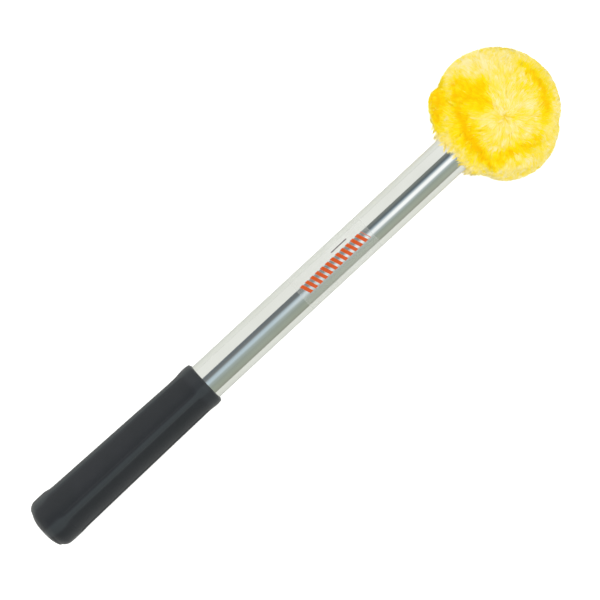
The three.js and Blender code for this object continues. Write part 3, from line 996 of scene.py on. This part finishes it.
print("one strand:", len(strand_shape), "vertices and", len(strand_faces), "triangles")

# %% [markdown]
# ## Which way the pile lies
#
# Pile has a nap. On this head it spreads like a star from a parting near the middle of the side
# that shows, and lies flatter and flatter towards the folds. Neighbouring fibres cling together in
# small wedge-shaped tufts. So the strands are planted evenly over the backing, each is turned to
# lie away from the parting, and each is then drawn some way towards the strand in the middle of
# its tuft.

# %% Nap and tufts
PARTING = Vector((0.01, -0.15, 0.99)).normalized()
PILE_HEIGHT = 0.0046
PILE_LENGTH = 0.0062
STRAND_WIDTH = 0.00015
NECK_LIMIT = -0.83
rng = np.random.default_rng(7)
def planted(count):
    """Directions spread evenly over a ball, each moved a little off its place."""
    turn = math.pi * (3 - math.sqrt(5))
    index = np.arange(count)
    level = 1 - (2 * index + 1) / count
    out = np.sqrt(1 - level**2)
    even = np.stack([level, np.cos(turn * index) * out, np.sin(turn * index) * out], axis=1)
    return unit(even + rng.normal(0, 1.0 / math.sqrt(count), even.shape))


def slow_noise(directions, scale, seed):
    """A smooth random number from about -1 to 1 for each direction."""
    shift = Vector((seed * 7.3, seed * 3.1, seed * 5.7))
    return np.array([noise.noise(Vector(d) * scale + shift) for d in directions])


def nap(directions):
    """The way that the pile lies at each direction, along the ball's surface."""
    away = directions * (directions @ np.array(PARTING))[:, None] - np.array(PARTING)
    away = unit(away + 1e-6)
    side = np.cross(directions, away)
    swirl = slow_noise(directions, 2.6, 1)[:, None] * 0.9 + slow_noise(directions, 7.0, 4)[:, None] * 0.5
    return unit(away + side * swirl)


def at_parting(directions):
    """1 at the parting, falling off round it. The pile stands up there, and its fibres cross."""
    off = np.linalg.norm(directions - np.array(PARTING), axis=1)
    return np.exp(-((off / 0.18) ** 2))


def unruly(directions):
    """How loosely the pile keeps to its nap: most of all round the neck."""
    return 1 + at_parting(directions) + 1.6 * np.clip((-0.55 - directions[:, 0]) / 0.25, 0, 1)


def nearest(places, others):
    """For each of the others, the number of the place that is nearest to it."""
    tree = KDTree(len(places))
    for index, place in enumerate(places):
        tree.insert(place, index)
    tree.balance()
    return np.array([tree.find(other)[1] for other in others])


def turned(directions, ways, angles):
    """Ways that lie on the ball's surface, each turned by its own angle."""
    return unit(ways * np.cos(angles)[:, None] + np.cross(directions, ways) * np.sin(angles)[:, None])


def backing_reach(directions):
    """How far the backing is from the head's middle in each direction."""
    found = []
    for direction in directions:
        hit = backing.ray_cast(head_middle, Vector(direction))
        found.append(hit[3] if hit[0] else BACKING_RADIUS)
    return np.array(found)


print("nap ready; the parting is at", [round(share, 2) for share in PARTING])

# %% [markdown]
# ## Where the colour deepens
#
# Pale tips cover the plush where it lies smooth. In the folds, and along some other lines, the
# colour is painted deeper, towards orange; in the folds this is painted shade. Round the parting,
# over the top and all round the side it is painted paler, as painted highlights. These places are
# mostly written as lines on the ball, with soft ragged edges from a noise.

# %% Colour by place
# Where the colour is painted deeper, mostly along the folds as painted shade: width, strength and places.
DEEP_COLOUR_AND_SHADE = [
    (.10, 1.0, [(-.50, .38, .78), (-.56, .15, .82), (-.61, -.08, .79)]),
    (.10, .95, [(-.62, -.20, .76), (-.65, -.42, .63)]),
    (.19, .66, [(-.33, .56, .76), (-.47, .42, .78), (-.58, .12, .81), (-.63, -.20, .75)]),
    (.22, .64, [(-.31, .60, .74), (-.10, .38, .92)]),
    (.14, .64, [(.02, .45, .89), (-.12, .27, .96)]),
    (.12, .62, [(-.19, .81, .56), (-.08, .65, .75)]),
    (.09, .84, [(-.65, -.47, .60), (-.64, -.59, .49)]),
    (.24, .76, [(-.46, .88, .14), (-.58, .70, .42), (-.70, .60, .38)]),
    (.12, 1.0, [(-.48, .84, .24), (-.57, .68, .46)]),
    (.15, .86, [(.79, .02, .61), (.73, -.27, .63), (.64, -.43, .64)]),
    (.13, .34, [(.78, .28, .56), (.79, .02, .61)]),
    (.12, .50, [(.62, -.45, .64), (.46, -.55, .70)]),
    (.13, .56, [(.16, -.76, .64), (-.13, -.64, .76), (-.42, -.57, .71), (-.60, -.54, .60)]),
    (.26, .06, [(.35, -.07, .93), (.52, .05, .85)]),
]
# The same for the painted highlights, where it is palest: round the parting, over the top and on
# the lobe below the neck.
PAINTED_HIGHLIGHTS = [
    (.19, .11, [(0, -.15, .99), (-.05, -.25, .96)]),
    (.28, .13, [(-.15, .85, .50), (.30, .75, .59), (.50, .62, .61)]),
    (.16, .10, [(-.56, -.70, .44), (-.46, -.76, .46)]),
]


def warmth_of(directions):
    """How deep the colour is at each direction: 0 on the pale lobes, 1 in a fold. In the folds the
    deep colour is painted shade; the pale lines and a belt all round the side are painted highlights."""
    deep = near_lines(directions, DEEP_COLOUR_AND_SHADE)
    pale = near_lines(directions, PAINTED_HIGHLIGHTS) + 0.14 * np.clip(1 - np.abs(directions[:, 2]) / 0.3, 0, 1)
    ragged = slow_noise(directions, 9.0, 2) * 0.22 + slow_noise(directions, 22.0, 3) * 0.2
    return deep * (1 + ragged) + 0.2 - pale + ragged * 0.35


print("deep lines:", len(DEEP_COLOUR_AND_SHADE), "and pale lines:", len(PAINTED_HIGHLIGHTS))

# %% [markdown]
# Each strand follows a curve: it leaves the backing steeply, then bends over along the nap. The
# curve is worked out at the four heights that the strand has rings at, for all strands at once.
# Its radius follows the ground under its root more than the ground under its tip, so that strands
# beside a fold lean out over it instead of lying down in it.

# %% Curves of the strands
heights = np.array(strand_heights)


def curves_of(roots, ways, lengths, rises, ground, end_ground):
    """Points of each strand, one row for each of the strand's rings."""
    points = []
    for height in heights:
        lie = (lengths * height**1.35)[:, None]
        rise = rises * (1 - (1 - height) ** 1.9)
        follow = ground * (1 - 0.45 * height) + end_ground * 0.45 * height
        angle = lie / HEAD_RADIUS
        directions = roots * np.cos(angle) + ways * np.sin(angle)
        points.append(directions * (follow + rise)[:, None])
    return np.stack(points, axis=1)


def drawn_in(curves, cores, least, most, power, loose=1.0):
    """Curves drawn some way towards the cores of their bundles, most of all at the tips."""
    draw = ((rng.uniform(least, most, len(curves)) * loose)[:, None] * heights**power)[..., None]
    return curves * (1 - draw) + cores * draw


print("each strand has points at", [float(height) for height in heights], "of its height")

# %% [markdown]
# The pile is combed in three sizes: locks, the tufts in a lock, and the strands in a tuft. Each
# size takes its angle, length and rise from the size above, with a little change, and is then
# drawn some way towards the middle of its bundle.

# %% Combing
def combed(count, tuft_count, lock_count):
    """Curves and colours of strands over the ball. Strands are drawn together in tufts, and the
    tufts are turned, tinted and drawn together in locks."""
    locks, tufts, roots = planted(lock_count), planted(tuft_count), planted(count)
    roots = roots[roots[:, 0] > NECK_LIMIT]
    lock_of, tuft_of = nearest(locks, tufts), nearest(tufts, roots)

    def lie(places, angles, lengths, rises):
        """The ways and the curves of strands at places, turned off the nap by angles."""
        ways = turned(places, nap(places), angles)
        ends = unit(places + ways * (PILE_LENGTH / HEAD_RADIUS))
        lengths = lengths * (1 - 0.35 * at_parting(places))
        return curves_of(places, ways, lengths, rises, backing_reach(places), backing_reach(ends))

    lock_angle = rng.normal(0, 0.24, lock_count) * unruly(locks)
    lock_length = PILE_LENGTH * rng.uniform(0.85, 1.15, lock_count)
    lock_rise = PILE_HEIGHT * rng.uniform(0.88, 1.0, lock_count)
    lock_curves = lie(locks, lock_angle, lock_length, lock_rise)

    tuft_angle = lock_angle[lock_of] + rng.normal(0, 0.2, tuft_count) * unruly(tufts)
    tuft_length = lock_length[lock_of] * rng.uniform(0.85, 1.15, tuft_count)
    tuft_rise = lock_rise[lock_of] * rng.uniform(0.88, 1.06, tuft_count)
    tuft_curves = lie(tufts, tuft_angle, tuft_length, tuft_rise)
    loose = 1 - 0.7 * at_parting(tufts)
    tuft_curves = drawn_in(tuft_curves, lock_curves[lock_of], 0.1, 0.4, 1.2, loose)

    angle = tuft_angle[tuft_of] + rng.normal(0, 0.12, len(roots)) * (1 + 4 * at_parting(roots))
    length = tuft_length[tuft_of] * rng.uniform(0.85, 1.1, len(roots))
    rise = tuft_rise[tuft_of] * rng.uniform(0.78, 1.0, len(roots))
    curves = lie(roots, angle, length, rise)
    loose = 1 - 0.7 * at_parting(roots)
    curves = drawn_in(curves, tuft_curves[tuft_of], 0.15, 0.7, 1.3, loose)

    lock_tint = rng.normal(0, 0.1, lock_count)[lock_of]
    tint = (lock_tint + rng.normal(0, 0.1, tuft_count))[tuft_of] + rng.normal(0, 0.08, len(roots))
    deep = warmth_of(unit(curves[:, 2]))
    return roots, curves, np.clip(deep + (0.75 + 0.5 * deep) * tint, 0.02, 0.98)


print("comb ready")

# %% [markdown]
# A hundred thousand strands are too many to place with operators. The one strand that was modelled
# is laid along every curve by numbers instead, and the copies share a mesh. How the pile is shaded
# matters as much as its shape: lit each on its own, thin strands look like straw. So their normals
# lean towards those of the body that they cover.

# %% Laying strands along curves
SOFT_SHADE, NECK_SOFT_SHADE, LIFT_SHADE = 0.85, 0.4, 0.45


def lay_strands(name, curves, warmth, soft=SOFT_SHADE):
    """One piece of strands laid along curves. Its UV map holds the colour's depth in U and the
    height along the strand in V. Its normals lean towards the ball's own, lifted a little, and most
    of all at the roots, which shades the pile as one soft body. No strand goes below the floor."""
    count = len(curves)
    forward = unit(np.gradient(curves, axis=1))
    side = unit(np.cross(forward, unit(curves)))
    flat = np.cross(side, forward)
    shape = strand_shape
    thick = (STRAND_WIDTH * rng.uniform(0.8, 1.25, count))[:, None, None]
    round_it = side[:, strand_ring] * shape[:, :1] - flat[:, strand_ring] * shape[:, 1:2] * 0.8
    places = (curves[:, strand_ring] + round_it * thick).reshape(-1, 3) + np.array(head_middle)
    softness = soft * (1 - 0.6 * shape[:, 2:] ** 2)
    own = unit(round_it + 1e-9)
    body = unit(unit(curves) + np.array([0, 0, LIFT_SHADE]))
    normals = unit(own * (1 - softness) + body[:, strand_ring] * softness).reshape(-1, 3)
    leaned = np.array(LAID_DOWN.to_3x3()).T
    places = places @ leaned + np.array(LAID_DOWN.translation)
    places[:, 2] = np.maximum(places[:, 2], 0.0001)
    normals = normals @ leaned
    faces = (strand_faces[None] + (np.arange(count) * len(shape))[:, None, None]).reshape(-1)
    mesh = bpy.data.meshes.new(name)
    mesh.vertices.add(len(places))
    mesh.vertices.foreach_set("co", places.ravel())
    mesh.loops.add(len(faces))
    mesh.loops.foreach_set("vertex_index", faces)
    mesh.polygons.add(len(faces) // 3)
    mesh.polygons.foreach_set("loop_start", np.arange(0, len(faces), 3))
    mesh.polygons.foreach_set("use_smooth", np.ones(len(faces) // 3, bool))
    uv = mesh.uv_layers.new(name="OFBake")
    rise = np.clip(shape[strand_faces.ravel(), 2], 0.02, 0.98)
    pairs = np.stack([np.repeat(warmth, strand_faces.size), np.tile(rise, count)], axis=1)
    uv.data.foreach_set("uv", pairs.ravel())
    mesh.update(calc_edges=True)
    mesh.normals_split_custom_set_from_vertices(normals)
    piece = bpy.data.objects.new(name, mesh)
    bpy.context.scene.collection.objects.link(piece)
    piece.visible_shadow = piece.visible_glossy = False
    mesh.materials.append(pile)
    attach(piece, "root")
    print(f"{name}: {count} strands")


print("normals lean by", SOFT_SHADE, "on the ball and", NECK_SOFT_SHADE, "at the neck")

# %% [markdown]
# ## The pile's colour
#
# Seen close, the pile is a deep golden yellow at its roots, where light has passed through many
# fibres, and pale at its tips. In the folds both are painted deeper, towards orange, as painted
# shade, and the pale lobes and the side are painted paler, as painted highlights. The material
# reads only the strands' own UV map: U says how deep the painted colour is there and V how far up
# the strand the point is.
# A sheen stands for the fuzz too fine to model. Real fibres let light through, so the strands are
# set not to throw shadows on each other, which would make the pile look like stiff straw. They are
# kept out of the tube's reflection too, where their undersides would show as a dark smear.

# %% Pile
pile, tree, shader = paint(
    "plush_pile", screen(255, 225, 60), 0.8, Specular_IOR_Level=0.06,
    Sheen_Weight=0.2, Sheen_Roughness=0.5, Sheen_Tint=screen(255, 238, 120)
)
fibre = add(tree, "UVMap", uv_map="OFBake").outputs["UV"]
parts = add(tree, "SeparateXYZ", Vector=fibre).outputs
tips = blend_of(tree, parts["X"], [
    (0.00, 255, 243, 190),
    (0.13, 255, 236, 136),
    (0.24, 255, 233, 104),
    (0.45, 255, 230, 24),
    (0.70, 255, 226, 0),
    (0.95, 255, 204, 0),
])
roots = blend_of(tree, parts["X"], [
    (0.00, 255, 238, 150),
    (0.14, 255, 232, 90),
    (0.35, 255, 228, 20),
    (0.90, 255, 203, 0),
])
rise = remap(tree, parts["Y"], (0.1, 0.8), (0, 1), interpolation_type="SMOOTHSTEP")
whole = add(tree, "MixRGB", Fac=rise, Color1=roots, Color2=tips)
feed(tree, shader, Base_Color=whole.outputs[0])
print("pile colour ready")

# %% [markdown]
# ## Laying the pile
#
# The strands over the ball go into several pieces, one for each sector round the shaft, so that no
# piece grows too heavy.

# %% Pile of the ball
STRANDS, TUFTS, LOCKS = 104000, 19000, 2600
SECTORS = 8
roots, curves, warmth = combed(STRANDS, TUFTS, LOCKS)
sector = ((np.arctan2(roots[:, 1], roots[:, 2]) / (2 * math.pi) + 0.5) * SECTORS).astype(int) % SECTORS
for number in range(SECTORS):
    here = sector == number
    lay_strands(f"plush_pile_{number + 1}", curves[here], warmth[here])

# %% [markdown]
# Round the neck the pile has nothing to lie on, so it falls forward over the hem and on to the
# tube in pale wisps. These strands are planted on the ring of cloth round the tube.

# %% Pile of the neck
NECK_STRANDS, NECK_TUFTS = 8600, 620
NECK_RING_START, NECK_RING_WIDTH = TUBE_RADIUS + 0.0004, 0.0076


def neck_pile(count, tuft_count):
    """Curves and tints of strands from the hem and the cloth round it, along the tube."""
    def ring(number):
        out = NECK_RING_START + NECK_RING_WIDTH * rng.uniform(0, 1, number)
        return out, rng.uniform(0, 2 * math.pi, number)

    def face(out, turn):
        return np.stack([0 * out, np.sin(turn) * out, np.cos(turn) * out], axis=1)

    def strand_points(out, turn, reach, fan):
        """From the cloth towards the grip, bending a little to the tube."""
        starts = []
        for place in face(out, turn):
            hit = backing.ray_cast(Vector(place) + Vector((0.29, 0, 0)), Vector((1, 0, 0)))[0]
            starts.append(hit.x if hit else HEM)
        rows = []
        for height in heights:
            radius = np.maximum(out + 0.0014 * height - 0.0018 * height**2, TUBE_RADIUS + 0.0003)
            along = np.array(starts) + 0.0004 - reach * height - HEAD_PLACE
            rows.append(face(radius, turn + fan * height) + along[:, None] * np.array([1, 0, 0]))
        return np.stack(rows, axis=1)

    tuft_out, tuft_turn = ring(tuft_count)
    out, turn = ring(count)
    own = nearest(face(tuft_out, tuft_turn), face(out, turn))
    outer = np.clip((tuft_out - TUBE_RADIUS - 0.0034) / 0.003, 0, 1)
    tuft_reach = 0.0005 + 0.0024 * outer + 0.0056 * rng.uniform(0, 1, tuft_count) ** 2.6
    tuft_fan = rng.normal(0, 0.16, tuft_count)
    fan = tuft_fan[own] + rng.normal(0, 0.05, count)
    reach = tuft_reach[own] * rng.uniform(0.7, 1.1, count)
    curves = strand_points(out, turn, reach, fan)
    cores = strand_points(tuft_out, tuft_turn, tuft_reach, tuft_fan)[own]
    return drawn_in(curves, cores, 0.2, 0.6, 1.3), rng.normal(0, 0.12, tuft_count)[own]


neck_curves, neck_warmth = neck_pile(NECK_STRANDS, NECK_TUFTS)
neck_warmth += 0.7 * warmth_of(unit(neck_curves[:, 0])) - 0.06 + rng.normal(0, 0.08, NECK_STRANDS)
lay_strands("plush_pile_neck", neck_curves, np.clip(neck_warmth, 0.02, 0.98), NECK_SOFT_SHADE)
